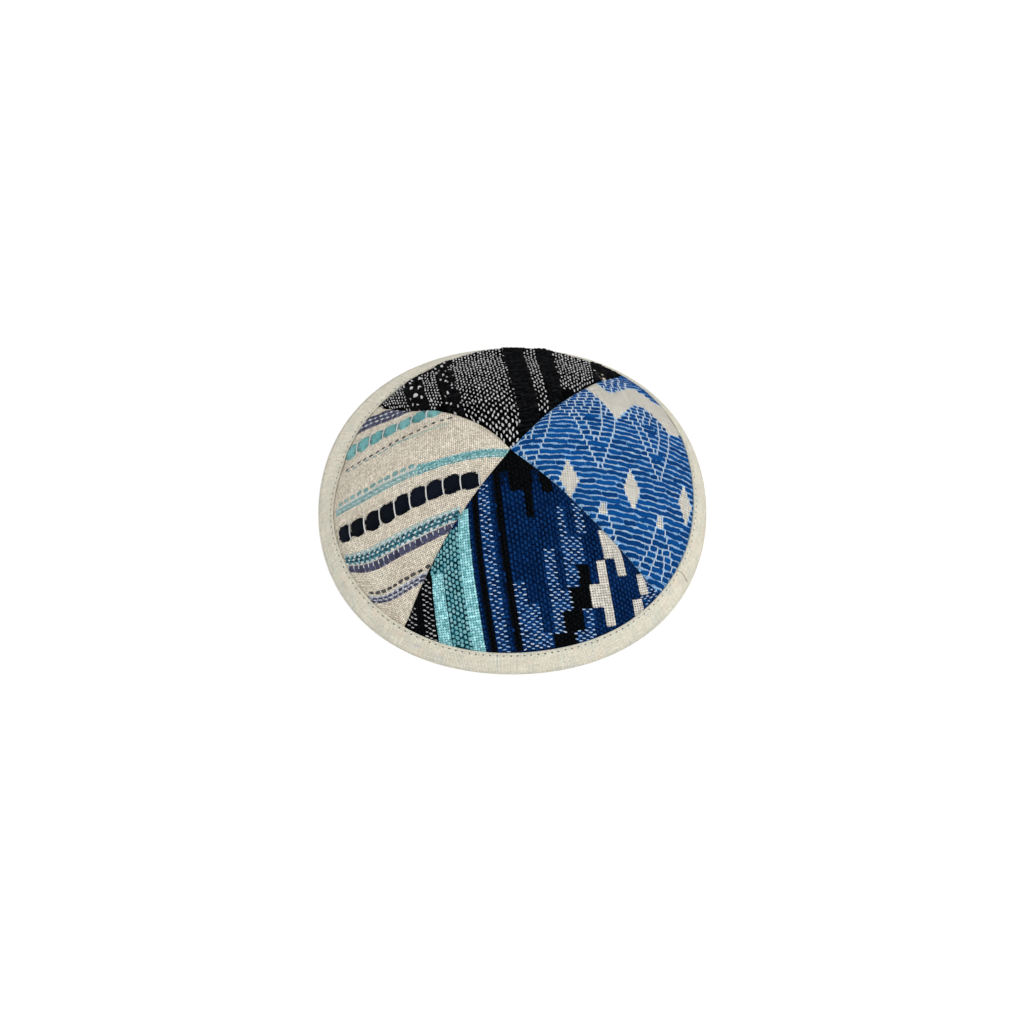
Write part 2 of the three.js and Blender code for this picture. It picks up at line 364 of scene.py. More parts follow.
def spunYarn(name, dark, light, **changes):
    look = {**yarnLook, **changes}
    material, tree, shader = newMaterial(
        name, IOR=1.5, Specular_IOR_Level=look["specular"], Sheen_Weight=look["sheen"], Sheen_Roughness=0.45,
        Roughness=look["roughness"])
    lay = addNode(tree, "UVMap", {}, uv_map="YarnLay")
    tone = addNode(tree, "Attribute", {}, 2, attribute_name="tone")
    long = addNode(tree, "VectorMath", {0: lay, 1: look["stretch"]}, operation="MULTIPLY")
    fibres = addNode(tree, "TexNoise", {"Vector": long, "Scale": 2.4, "Detail": 4.0})
    streaks = addNode(tree, "MapRange", {"Value": fibres, "From Min": 0.3, "From Max": 0.7})
    share = addNode(tree, "Mix", {0: 0.42, 2: tone, 3: streaks})
    colour = addNode(tree, "Mix", {0: share, 6: linear(dark), 7: linear(light)}, **colourMix)
    # diagonal bands repeat every 2 pi / 10 units at scale 1
    plies = addNode(
        tree, "TexWave", {"Vector": lay, "Scale": 0.628 / look["ply"], "Distortion": 1.6, "Detail": 2.0}, 1,
        bands_direction="DIAGONAL")
    # painted shade: the colour darkens in the grooves between the twisted plies
    groove = addNode(tree, "MapRange", {"Value": plies, "To Min": look["groove"], "To Max": 1.0})
    colour = addNode(tree, "Mix", {0: 1.0, 6: colour, 7: groove}, **colourShade)
    tree.links.new(colour, shader.inputs["Base Color"])
    height = addNode(tree, "Math", {0: plies, 1: 0.7, 2: fibres}, operation="MULTIPLY_ADD")
    bump = addNode(tree, "Bump", {"Height": height, "Distance": look["bump"] * mm, "Strength": 1.0})
    tree.links.new(bump, shader.inputs["Normal"])
    return material


# Meshes
def addPiece(name, points, faces, material, node):
    mesh = bpy.data.meshes.new(name)
    mesh.from_pydata((np.asarray(points) * mm).tolist(), [], faces)
    mesh.polygons.foreach_set("use_smooth", np.ones(len(mesh.polygons), bool))
    piece = bpy.data.objects.new(name, mesh)
    bpy.context.collection.objects.link(piece)
    mesh.materials.append(material)
    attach(piece, "root")
    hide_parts(node)
    print("kippah:", name, len(faces), "faces")
    return piece


def addMap(mesh, name, perPoint):
    loops = np.zeros(len(mesh.loops), np.int32)
    mesh.loops.foreach_get("vertex_index", loops)
    layer = mesh.uv_layers.new(name=name, do_init=False)
    layer.uv.foreach_set("vector", np.asarray(perPoint, np.float32)[loops].ravel())


def addNumbers(mesh, name, perPoint):
    mesh.attributes.new(name, "FLOAT", "POINT").data.foreach_set("value", np.asarray(perPoint, np.float32))


def boxDistance(u, v, boxes):  # millimetres inside the nearest box, below zero outside
    best = np.full(np.shape(u), -99.0)
    for u0, v0, u1, v1 in boxes:
        best = np.maximum(best, np.min([u - u0, u1 - u, v - v0, v1 - v], 0))
    return best


def outlineDistance(u, v, corners):  # millimetres inside a closed outline, below zero outside
    corners = np.array(corners, float)
    inside = np.zeros(np.shape(u), bool)
    nearest = np.full(np.shape(u), 99.0)
    for here, there in zip(corners, np.roll(corners, -1, 0)):
        side = there - here
        along = np.clip(((u - here[0]) * side[0] + (v - here[1]) * side[1]) / (side @ side), 0, 1)
        nearest = np.minimum(nearest, np.hypot(u - here[0] - along * side[0], v - here[1] - along * side[1]))
        if here[1] != there[1]:
            crosses = (here[1] > v) != (there[1] > v)
            inside ^= crosses & (u < (there[0] - here[0]) * (v - here[1]) / (there[1] - here[1]) + here[0])
    return np.where(inside, nearest, -nearest)


# One panel of cloth: a fine outer face, a coarser inner face and the raw edges between them
clothMesh = dict(step=0.62, inner=4, tucked=9.0, tuckedRows=4, tip=0.35, seamMargin=0.05)


# How far the cloth's raw edge hangs down inside the tape without touching its fold
def tuckedLength(azimuth):
    run = tapeRun(azimuth)
    pocket = clothDepth + capShape["cloth"]
    lowest = (clothDepth + pocket * run) / np.sqrt(1 - run * run)
    return np.minimum(clothMesh["tucked"], tapeShape["width"] - lowest)


def panelRow(panel, down, shares, lift):
    reach = np.interp(down, panel["down"], panel["reach"])
    start = seamAzimuth(panel["start"], reach)
    width = panelWidth(panel, reach)
    margin = np.degrees(clothMesh["seamMargin"] / (rimRadius(0) * reach))
    azimuth = start + margin + (width - 2 * margin) * shares
    share = max(down - panel["length"], 0) / clothMesh["tucked"]
    below = tuckedLength(azimuth) * share
    point = clothPoint(azimuth, reach + 0 * azimuth, lift + 0 * azimuth)
    if share > 0:  # inside the tape
        out, height = tapeSection(azimuth, tapeShape["width"] - below, clothDepth - lift)
        angle = np.radians(azimuth)
        point = np.stack([out * np.cos(angle), out * np.sin(angle), height], -1)
    u, v = flatPlace(panel, reach + 0 * azimuth, shares)
    return point, u, v + below


def panelSheet(panel, downs, columns, lift):
    shares = np.linspace(0, 1, columns + 1)
    rows = [panelRow(panel, down, shares, lift) for down in downs]
    return [np.stack([row[part] for row in rows]) for part in range(3)]


# Place on a panel's baked image: the outer side in its left half and the inner side in its right half
def bakePlace(across, along, inside):
    return np.stack([(across + inside) / 2.02 + 0.004, along * 0.98 + 0.01], -1)


def sewPanel(name, panel, zones, material):
    columns = int(2 * panel["left"][-1] / clothMesh["step"]) // 4 * 4
    domeRows = int(panel["length"] / clothMesh["step"]) // 4 * 4
    fold = np.arange(1, clothMesh["tuckedRows"] + 1) * clothMesh["tucked"] / clothMesh["tuckedRows"]
    onDome = np.linspace(clothMesh["tip"], panel["length"], domeRows + 1)
    downs = np.concatenate([onDome, panel["length"] + fold])
    coarse = clothMesh["inner"]
    outer, uOuter, vOuter = panelSheet(panel, downs, columns, 0.0)
    inner, uInner, vInner = panelSheet(panel, downs[::coarse], columns // coarse, -capShape["cloth"])
    outerId = np.arange(uOuter.size).reshape(uOuter.shape)
    innerId = uOuter.size + np.arange(uInner.size).reshape(uInner.shape)
    faces = np.stack([outerId[:-1, :-1], outerId[1:, :-1], outerId[1:, 1:], outerId[:-1, 1:]], -1)
    faces = faces.reshape(-1, 4).tolist()
    back = np.stack([innerId[:-1, :-1], innerId[:-1, 1:], innerId[1:, 1:], innerId[1:, :-1]], -1)
    faces += back.reshape(-1, 4).tolist()
    rims = [
        (outerId[:, 0], innerId[:, 0]), (outerId[-1], innerId[-1]),
        (outerId[::-1, -1], innerId[::-1, -1]), (outerId[0, ::-1], innerId[0, ::-1]),
    ]
    half = coarse // 2
    for fine, plain in rims:
        for step in range(len(plain) - 1):
            part = fine[step * coarse:(step + 1) * coarse + 1]
            for k in range(coarse):
                faces.append([part[k + 1], part[k], plain[step] if k < half else plain[step + 1]])
            faces.append([part[half], plain[step], plain[step + 1]])
    points = np.concatenate([outer.reshape(-1, 3), inner.reshape(-1, 3)])
    faces = [[int(corner) for corner in face] for face in faces]
    piece = addPiece(name, points, faces, material, panel["node"])
    u = np.concatenate([uOuter.ravel(), uInner.ravel()])
    v = np.concatenate([vOuter.ravel(), vInner.ravel()])
    inside = np.concatenate([np.zeros(outerId.size), np.ones(innerId.size)])
    wide = 2 * max(panel["left"][-1], panel["right"][-1]) + 2
    addMap(piece.data, "OFBake", bakePlace(u / wide + 0.5, v / (panel["length"] + 14), inside))
    addMap(piece.data, "ClothLay", np.stack([u, v], -1))
    for zone, extent in zones.items():  # boxes, or a function of u and v
        addNumbers(piece.data, zone, extent(u, v) if callable(extent) else boxDistance(u, v, extent))
    # the flat cut's width at each reach, across both sides of the panel
    wide = panel["left"] + panel["right"]


# Yarns laid on a panel. Each is a closed strand, and floats sink a little over half into the cloth
def newYarns():
    return dict(flat=[], lift=[], lay=[], tone=[], under=[], faces=[], count=0)


def layStrand(yarns, u, v, width, height, tone, sides=6, square=1.0, sink=0.25, base=0.0):
    du = np.gradient(u)
    dv = np.gradient(v)
    long = np.hypot(du, dv) + 1e-9
    turn = np.linspace(0, 2 * np.pi, sides, endpoint=False) + np.pi / sides
    across = np.sign(np.cos(turn)) * np.abs(np.cos(turn)) ** square
    tall = np.sign(np.sin(turn)) * np.abs(np.sin(turn)) ** square
    flatU = u[:, None] + dv[:, None] / long[:, None] * width[:, None] / 2 * across
    flatV = v[:, None] - du[:, None] / long[:, None] * width[:, None] / 2 * across
    lift = height[:, None] * (tall - sink) + np.broadcast_to(base, u.shape)[:, None]
    rings = len(u)
    along = np.cumsum(long)
    lay = np.stack([
        np.broadcast_to(across * np.max(width) / 2, flatU.shape) + 31 * tone,
        np.broadcast_to(along[:, None], flatU.shape) + 57 * tone,
    ], -1)
    first = yarns["count"]
    grid = first + np.arange(rings * sides).reshape(rings, sides)
    beside = np.roll(grid, -1, 1)
    quads = np.stack([grid[:-1], grid[1:], beside[1:], beside[:-1]], -1).reshape(-1, 4)
    yarns["faces"] += quads.tolist()
    yarns["faces"].append(grid[0].tolist())
    yarns["faces"].append(grid[-1][::-1].tolist())
    yarns["flat"].append(np.stack([flatU.ravel(), flatV.ravel()], -1))
    yarns["lift"].append(lift.ravel())
    yarns["lay"].append(lay.reshape(-1, 2))
    yarns["tone"].append(np.full(rings * sides, tone))
    yarns["under"].append(np.broadcast_to(tall < 0, flatU.shape).ravel())
    yarns["count"] += rings * sides


def roundedEnds(rings, blunt):  # places along a strand from -1 to 1, and how full it is at each
    share = np.sin(np.linspace(-0.5, 0.5, rings) * np.pi * 0.97)
    return share, (1 - np.abs(share) ** blunt) ** (1 / blunt)


# A short float: centre, width across it, length along it and how far it leans from straight down the cloth
def layFloat(yarns, u, v, width, length, height, lean=0.0, tone=None, rings=6, sides=6, blunt=2.2, square=1.0,
             rough=0.08):
    share, full = roundedEnds(rings, blunt)
    tone = draws.uniform(0, 1) if tone is None else tone
    lean = math.radians(lean)
    bend = draws.normal(0, rough, rings) * width / 2
    layStrand(
        yarns, u + share * length / 2 * math.sin(lean) + bend * math.cos(lean),
        v + share * length / 2 * math.cos(lean) - bend * math.sin(lean),
        width * full * (1 + draws.normal(0, rough, rings)),
        height * full * (1 + draws.normal(0, rough, rings)), tone, sides, square,
    )


# Loose fibres that stand out around a soft bundle
def layFuzz(yarns, u, v, width, length, height, count, reach=1.1):
    for _ in range(count):
        side = draws.uniform(0, 2 * np.pi)
        edge = draws.uniform(0.55, 0.98)
        startU = u + edge * width / 2 * math.copysign(abs(math.cos(side)) ** 0.6, math.cos(side))
        startV = v + edge * length / 2 * math.copysign(abs(math.sin(side)) ** 0.6, math.sin(side))
        heading = side + draws.normal(0, 0.8)
        share = np.linspace(0, 1, 5)
        turned = heading + draws.normal(0, 0.9) * share
        long = draws.uniform(0.4, 1.0) * reach
        layStrand(
            yarns, startU + long * share * np.cos(turned), startV + long * share * np.sin(turned),
            np.full(5, 0.09) * (1.1 - share), np.full(5, 0.05), draws.uniform(0.3, 1), 3,
            base=height * (0.75 - 0.5 * edge * share) + draws.uniform(0, 0.3) * share,
        )


def finishYarns(name, panel, yarns, material, fade=0.9):
    flat = np.concatenate(yarns["flat"])
    lift = np.concatenate(yarns["lift"])
    reach, share, edge = clothPlace(panel, flat[:, 0], flat[:, 1])
    share = np.clip(share, 0.0005, 0.9995)
    lift = lift * smooth((edge + 0.5) / fade) + np.minimum(edge, 0) * 0.2
    azimuth = seamAzimuth(panel["start"], reach) + panelWidth(panel, reach) * share
    points = clothPoint(azimuth, np.clip(reach, 0.004, 1), lift)
    piece = addPiece(name, points, yarns["faces"], material, panel["node"])
    under = np.concatenate(yarns["under"])
    wide = 2 * max(panel["left"][-1], panel["right"][-1]) + 6
    across = np.clip(flat[:, 0] / wide + 0.5, 0, 1)
    along = np.clip(flat[:, 1] / (panel["length"] + 6), 0, 1)
    addMap(piece.data, "OFBake", bakePlace(across, along, under))
    addMap(piece.data, "YarnLay", np.concatenate(yarns["lay"]))
    addNumbers(piece.data, "tone", np.concatenate(yarns["tone"]))


def edgeDistance(panel, u, v):
    return clothPlace(panel, np.array([float(u)]), np.array([float(v)]))[2][0]


# Places of a lattice of cells, every second column moved down by half a row, that lie inside the panel
def lattice(panel, columns, rowAt, margin, jitter):
    column, row = np.meshgrid(np.arange(len(columns)), np.arange(-1, 70))
    u = np.asarray(columns)[column.ravel()]
    v = rowAt((row + 0.5 * (column % 2)).ravel())
    u = u + draws.normal(0, jitter, u.shape) * 0.7
    v = v + draws.normal(0, jitter, v.shape)
    edge = clothPlace(panel, u, v)[2]
    return u[edge > margin], v[edge > margin]


# The camera stands where the photograph was taken from
view = dict(elevation=59.5, distance=900.0, pixelsPerMm=2.035, frame=1024, originX=512.5, originY=503.5)


def setCamera():
    tilt = math.radians(view["elevation"])
    back = Vector((0, -math.cos(tilt), math.sin(tilt)))
    up = Vector((0, math.sin(tilt), math.cos(tilt)))
    right = Vector((1, 0, 0))
    sideways = (view["frame"] / 2 - view["originX"]) / view["pixelsPerMm"]
    raised = (view["originY"] - view["frame"] / 2) / view["pixelsPerMm"]
    camera = bpy.data.objects.new("camera", bpy.data.cameras.new("camera"))
    camera.data.sensor_width = 36
    camera.data.lens = 36 * view["pixelsPerMm"] * view["distance"] / view["frame"]
    camera.data.clip_start = 0.01
    place = (back * view["distance"] + right * sideways + up * raised) * mm
    camera.matrix_world = Matrix.Translation(place) @ Matrix((right, up, back)).transposed().to_4x4()
    bpy.context.collection.objects.link(camera)
    bpy.context.scene.camera = camera


setCamera()

# Studio: a white floor, a wide key light from the right and front, a weak fill and a bright even room
studio = dict(
    room=0.8, keyPower=10.5, keySize=0.8, keyAt=(0.75, -0.5, 1.25), fillPower=3.0, fillSize=1.2,
    fillAt=(-0.9, 0.3, 1.1), floorColour="#f6f6f5", floorPale="#fbfbfa", floorHalf=3,
)


def addLamp(name, power, size, place):
    lamp = bpy.data.objects.new(name, bpy.data.lights.new(name, "AREA"))
    lamp.data.energy = power
    lamp.data.shape = "DISK"
    lamp.data.size = size
    lamp.location = place
    lamp.rotation_euler = (-Vector(place)).to_track_quat("-Z", "Y").to_euler()
    bpy.context.collection.objects.link(lamp)


def buildStudio():
    world = bpy.data.worlds.new("room")
    world.use_nodes = True
    world.node_tree.nodes["Background"].inputs["Color"].default_value = linear("#ffffff")
    world.node_tree.nodes["Background"].inputs["Strength"].default_value = studio["room"]
    bpy.context.scene.world = world
    bpy.context.scene.view_settings.view_transform = "Standard"
    addLamp("keyLight", studio["keyPower"], studio["keySize"], studio["keyAt"])
    addLamp("fillLight", studio["fillPower"], studio["fillSize"], studio["fillAt"])
    material, tree, shader = newMaterial("matt white paper floor", Roughness=0.85, Specular_IOR_Level=0.1)
    shade = addNode(tree, "TexNoise", {"Scale": 3.0})
    floorColours = {0: shade, 6: linear(studio["floorColour"]), 7: linear(studio["floorPale"])}
    paper = addNode(tree, "Mix", floorColours, **colourMix)
    tree.links.new(paper, shader.inputs["Base Color"])
    mesh = bpy.data.meshes.new("studioFloor")
    half = studio["floorHalf"]
    corners = [(-half, -half, 0), (half, -half, 0), (half, half, 0), (-half, half, 0)]
    mesh.from_pydata(corners, [], [(0, 1, 2, 3)])
    mesh.materials.append(material)
    floor = bpy.data.objects.new("studioFloor", mesh)
    bpy.context.collection.objects.link(floor)


buildStudio()
print("kippah: camera and studio")

# Linen panel: natural linen plain weave, soft and slubby, with dyed cotton stripes laid in as it was woven
# Its couched yarns lie in bundles between ties
couching = [
    dict(
        piece="linen_navy_couching", width=9.6, length=8.6, height=1.3, fibres=150, tieReach=9.6,
        tieHeight=0.75, blunt=3.0, square=0.8, yarn=("navy wool roving", "#020509", "#101a2b"),
        look=dict(
            ply=1.3, groove=0.82, bump=0.7, roughness=0.95, specular=0.03, sheen=0.02, stretch=(1.6, 2.2, 1),
        ),
        places=[(16.4, 19.2), (15.6, 28.1), (15.2, 37.0), (15.8, 45.9), (16.3, 54.9), (16.4, 64.0),
                (16.2, 73.3), (16.1, 83.0), (16.2, 92.9)],
    ),
    dict(
        piece="linen_turquoise_couching", width=11.6, length=8.5, height=0.85, fibres=60, tieReach=10.6,
        tieHeight=0.5, blunt=2.2, square=1.0, yarn=("turquoise cotton roving", "#2f9097", "#98d6d4"),
        look=dict(ply=1.6, groove=0.85, bump=0.6, stretch=(0.5, 2.6, 1)),
        places=[(-37.0, 36.6), (-37.2, 45.2), (-37.3, 54.1), (-37.2, 63.0), (-37.0, 71.8), (-37.1, 80.8),
                (-37.2, 89.9)],
    ),
]
linenCloth = groundCloth(dict(
    name="natural linen plain weave", colour="#f1e9d7", blotch="#e5dac6", pinholeShade="#5a4336",
    pitch=(0.98, 0.98), wobble=0.6, threads=0.07, crossings=0.24, bump=0.42, roughness=0.8, sheen=0.05,
    specular=0.15,
    zones=[
        ("tealEdge", "#549ba2", "#a5d6d6"), ("paleTealEdge", "#c3d6d0", "#93bdbd"),
        ("deepEdge", "#2a6877", "#74b3c0"), ("slateEdge", "#44455f", "#8b8ca3"),
        ("lilacEdge", "#9798ad", "#cfcfd6"), ("mintEdge", "#cfdccb", "#a9c4b6"),
    ],
))
linenZones = {
    "tealEdge": [(0.3, 0, 4.9, 46)],
    "paleTealEdge": [(0.9, 46, 4.7, 99), (28.4, 26, 30.2, 97)],
    "deepEdge": [(30.2, 27, 34.9, 97)],
    "slateEdge": [(35.5, 29, 39.9, 96), (-62, 52, -49.6, 90)],
    "lilacEdge": [(53.2, 50, 57.4, 90)],
    "mintEdge": [(-22.1, 29, -20.8, 60)],
}
# Dashes woven in down the cloth, as path of v and u, first, last, pitch, width, length, height and lean
linenDashes = [
    dict(piece="linen_charcoal_dashes", yarn=("charcoal cotton weft", "#2b2c2e", "#656462"), columns=[
        ([(28, -26.3), (32, -26.0), (40, -25.0), (46, -24.5), (55, -23.6)],
         28.5, 92, 4.2, 1.5, 2.35, 0.42, 6),
        ([(50, 51.3)], 51, 90, 3.9, 1.9, 2.8, 0.42, 0),
    ]),
    dict(piece="linen_teal_wefts", yarn=("teal cotton weft", "#2f848c", "#a3dadb"), columns=[
        ([(0, 1.3), (38, 1.3), (47, -0.4)], 2.6, 50, 2.5, 1.8, 2.1, 0.34, 16),
        ([(0, 3.4), (38, 3.4), (47, 2.2)], 3.9, 50, 2.5, 1.8, 2.1, 0.34, 16),
    ]),
    dict(piece="linen_muted_teal_wefts", yarn=("greyed teal cotton weft", "#5f9295", "#a3c9c5"), columns=[
        ([(43, -1.5)], 48.5, 98, 4.6, 2.5, 3.5, 0.34, 0), ([(46, 1.9)], 51.5, 98, 3.6, 1.5, 2.9, 0.3, 3),
        ([(46, 3.8)], 53, 98, 3.6, 1.5, 2.9, 0.3, -3), ([(40, -21.4)], 52, 92, 4.2, 1.1, 2.5, 0.3, 0),
    ]),
    dict(piece="linen_slate_wefts", yarn=("slate cotton weft", "#23243c", "#5b5c7b"), columns=[
        ([(30, 37.7)], 31, 95.5, 3.3, 4.0, 2.9, 0.42, 4),
        ([(50, 54.7)], 51.6, 89, 3.4, 1.35, 2.7, 0.36, 0), ([(50, 56.5)], 53.0, 89, 3.4, 1.35, 2.7, 0.36, 0),
        ([(50, -60.4)], 55, 92, 3.5, 3.0, 2.6, 0.4, 6), ([(50, -56.2)], 53.5, 92, 3.5, 3.0, 2.6, 0.4, -6),
        ([(50, -51.9)], 52.5, 92, 3.5, 3.0, 2.6, 0.4, 5),
    ]),
    dict(piece="linen_deep_teal_wefts", yarn=("deep teal cotton weft", "#0f303f", "#2f7383"), columns=[
        ([(28, 31.1)], 28, 97, 3.3, 1.55, 2.7, 0.36, 3), ([(28, 32.9)], 29.4, 97, 3.3, 1.55, 2.7, 0.36, -3),
    ]),
    dict(piece="linen_pale_flecks", yarn=("pale cotton weft", "#b9d0d5", "#fbfdfd"), columns=[
        ([(30, 34.5)], 29.5, 96, 3.3, 1.5, 1.8, 0.5, 12), ([(30, 32.0)], 31.5, 96, 3.3, 1.0, 1.7, 0.42, 35),
        ([(30, 36.7)], 32.65, 96, 3.3, 0.55, 2.1, 0.5, 84), ([(30, 30.5)], 30.0, 96, 3.3, 0.8, 1.6, 0.42, 35),
        ([(0, 0.9), (38, 0.9), (47, -0.6)], 3.0, 50, 1.9, 0.75, 1.05, 0.42, 30),
        ([(0, 3.9), (38, 3.9), (47, 2.8)], 4.0, 50, 1.9, 0.75, 1.05, 0.42, 30),
        ([(46, 2.9)], 52, 98, 3.6, 0.5, 2.1, 0.36, 0), ([(46, 0.4)], 48, 98, 3.1, 0.7, 2.9, 0.36, 3),
        ([(50, 55.6)], 52, 88, 3.4, 0.7, 1.6, 0.4, 0), ([(50, 53.4)], 52.8, 88, 3.4, 0.9, 2.0, 0.36, 0),
        ([(50, -58.2)], 55.5, 90, 3.5, 1.0, 1.9, 0.46, 30),
        ([(50, -54.0)], 54.0, 90, 3.5, 1.0, 1.9, 0.46, 28),
        ([(30, 29.3)], 27, 97, 3.3, 0.9, 2.1, 0.3, 0),
    ]),
]


def layColumn(yarns, panel, path, first, last, pitch, width, length, height, lean):
    for v in np.arange(first, last, pitch):
        u = np.interp(v, *zip(*path)) + draws.normal(0, 0.14)
        v = v + draws.normal(0, 0.16)
        if edgeDistance(panel, u, v) > 0.5:
            layFloat(
                yarns, u, v, width * draws.uniform(0.82, 1.12), length * draws.uniform(0.82, 1.1),
                height * draws.uniform(0.85, 1.2), lean=lean + draws.normal(0, 5), rings=8, sides=8,
                blunt=3.6, square=0.85,
            )


# Thick couched yarn: soft bundles of roving, each pinched by the ties on both sides of it
def layBundles(yarns, ties, panel, bundle):
    width = bundle["width"]
    length = bundle["length"]
    height = bundle["height"]
    for u, v in bundle["places"]:
        if edgeDistance(panel, u, v) > 0.5:
            layFloat(
                yarns, u + draws.normal(0, 0.12), v, width * draws.uniform(0.96, 1.04), length, height,
                rings=18, sides=22, blunt=bundle["blunt"], square=bundle["square"], rough=0.035,
            )
            layFuzz(yarns, u, v, width, length, height, bundle["fibres"])
        tieV = v - length / 2 - 0.25
        if edgeDistance(panel, u, tieV) > 0.4:
            share = np.linspace(-1, 1, 15)
            over = np.sqrt(1 - (share * 0.96) ** 2)
            layStrand(
                ties, u + share * bundle["tieReach"] / 2,
                tieV + draws.uniform(0.3, 0.7) * (over - 0.6) + 0.25 * share,
                np.full(15, 0.72) * (0.8 + 0.2 * over), np.full(15, 0.34), draws.uniform(0, 1), sink=0.0,
                base=bundle["tieHeight"] * over - 0.1,
            )


def buildLinen():
    panel = panels["linen"]
    sewPanel("linen_cloth_panel", panel, linenZones, linenCloth)
    ties = newYarns()
    for bundle in couching:
        yarns = newYarns()
        layBundles(yarns, ties, panel, bundle)
        finishYarns(bundle["piece"], panel, yarns, spunYarn(*bundle["yarn"], **bundle["look"]))
    finishYarns("linen_ties", panel, ties, spunYarn(
        "bleached cotton tie", "#c6c7c8", "#f6f6f3", ply=0.6, groove=0.82))
    for stripe in linenDashes:
        yarns = newYarns()
        for column in stripe["columns"]:
            layColumn(yarns, panel, *column)
        finishYarns(stripe["piece"], panel, yarns, spunYarn(*stripe["yarn"]))


buildLinen()
print("kippah: linen panel")

# Black panel: black cotton with pale flecks that float over one pick in two, and slubby black bands
blackCloth = groundCloth(dict(
    name="black cotton rib weave", colour="#040506", blotch="#090a0b", pinholeShade="#303030",
    pitch=(1.6, 1.05), wobble=0.5, threads=0.4, crossings=0.5, bump=0.5, roughness=0.9, sheen=0.0,
    specular=0.01, zones=[("creamEdge", "#e2dbcc", "#c9bfae")],
))
# Where pale flecks and slubs show on the black cloth, as u from, v from, u to and v to
fleckBands = [
    (-4.6, 0, 9.5, 12), (-5, 12, 22.3, 99), (-21.6, 20, -15.6, 90), (-51, 40, -30.5, 97),
    (31.5, 38, 39.5, 84), (50, 52, 67, 99), (22.3, 49, 25, 57), (22.3, 75, 25.5, 83),
]
slubBands = [
    (-15.4, 4, -5.2, 99), (-30.5, 18, -22.3, 99), (22.6, 20, 31.0, 99), (39.6, 38, 50, 99),
    (-70, 50, -51.5, 99),
]
# Where a few pale flecks stray into the slubs
strayBands = [(22.6, 26, 31, 92), (39.6, 44, 50, 92)]
# A few thicker pale lumps, as u, v, width and length
loneFlecks = [
    (44.6, 62.3, 3.3, 4.2), (41.2, 69.2, 2.6, 3.0), (45.6, 73.6, 2.8, 2.8), (41.6, 55.6, 1.7, 4.0),
    (39.8, 79.0, 2.4, 2.6), (27.2, 46.5, 1.3, 2.6), (29.5, 37.5, 1.2, 2.2), (26.5, 60.0, 1.5, 2.2),
    (27.0, 84.5, 1.8, 2.4), (37.0, 47.0, 1.4, 2.2), (27.0, 70.0, 1.3, 2.4), (46.0, 46.0, 1.2, 3.2),
]


def blackRow(index):  # picks lie a little closer together towards the tape
    return np.interp(index, [0, 7, 40], [0.5, 30.5, 145])


def buildBlack():
    panel = panels["black"]
    sewPanel("black_cloth_panel", panel, {
        "creamEdge": lambda u, v: outlineDistance(u, v, [(-61, 58), (-54, 61), (-50.5, 71), (-57, 67)]),
    }, blackCloth)
    pale = newYarns()
    u, v = lattice(panel, np.arange(-46, 47) * 1.6, blackRow, 0.15, 0.24)
    shown = boxDistance(u, v, fleckBands) > 0
    stray = (boxDistance(u, v, strayBands) > 0) & (draws.uniform(0, 1, u.shape) < 0.1)
    for place in zip(u[stray], v[stray]):
        layFloat(pale, *place, draws.uniform(0.8, 1.5), draws.uniform(1.4, 2.6), 1.2,
                 lean=draws.normal(0, 20), rough=0.1)
    for place in zip(u[shown], v[shown]):
        crown = smooth((34 - place[1]) / 20)
        size = 0.9 + 0.15 * crown
        length = 2.05 * size * draws.uniform(0.75, 1.2) * (1.45 if draws.uniform() < 0.08 else 1)
        layFloat(
            pale, *place, 1.08 * size * draws.uniform(0.72, 1.2), length, 0.5 * draws.uniform(0.8, 1.25),
            lean=draws.normal(0, 13), tone=draws.uniform(0.1, 0.8) + 0.2 * crown, rough=0.13,
        )
    for u, v, width, length in loneFlecks:
        layFloat(pale, u, v, width, length, 1.5, tone=0.7, rings=9, sides=10, rough=0.05)
    finishYarns("black_pale_flecks", panel, pale, spunYarn(
        "undyed cotton fleck", "#9b9b9d", "#ffffff", ply=0.55, groove=0.75))
    dark = newYarns()
    columns = np.arange(-24, 25) * 2.9
    u, v = lattice(panel, columns, lambda index: index * 2.0, 0.3, 0.35)
    shown = boxDistance(u, v, slubBands) > 0.2
    for place in zip(u[shown], v[shown]):
        layFloat(
            dark, *place, 1.5 * draws.uniform(0.55, 1.35), 4.2 * draws.uniform(0.5, 1.25),
            0.62 * draws.uniform(0.5, 1.9), lean=90 + draws.normal(0, 14), tone=draws.uniform(0, 1) ** 3,
            rings=8, sides=7, rough=0.16,
        )
        if draws.uniform() < 0.5:
            layFuzz(dark, *place, 3.0, 1.5, 0.8, 3, reach=1.4)
    finishYarns("black_slub_yarns", panel, dark, spunYarn(
        "black cotton slub", "#030404", "#25262a", ply=0.8, groove=0.45, bump=0.4, specular=0.03, sheen=0.01))


buildBlack()
print("kippah: black panel")

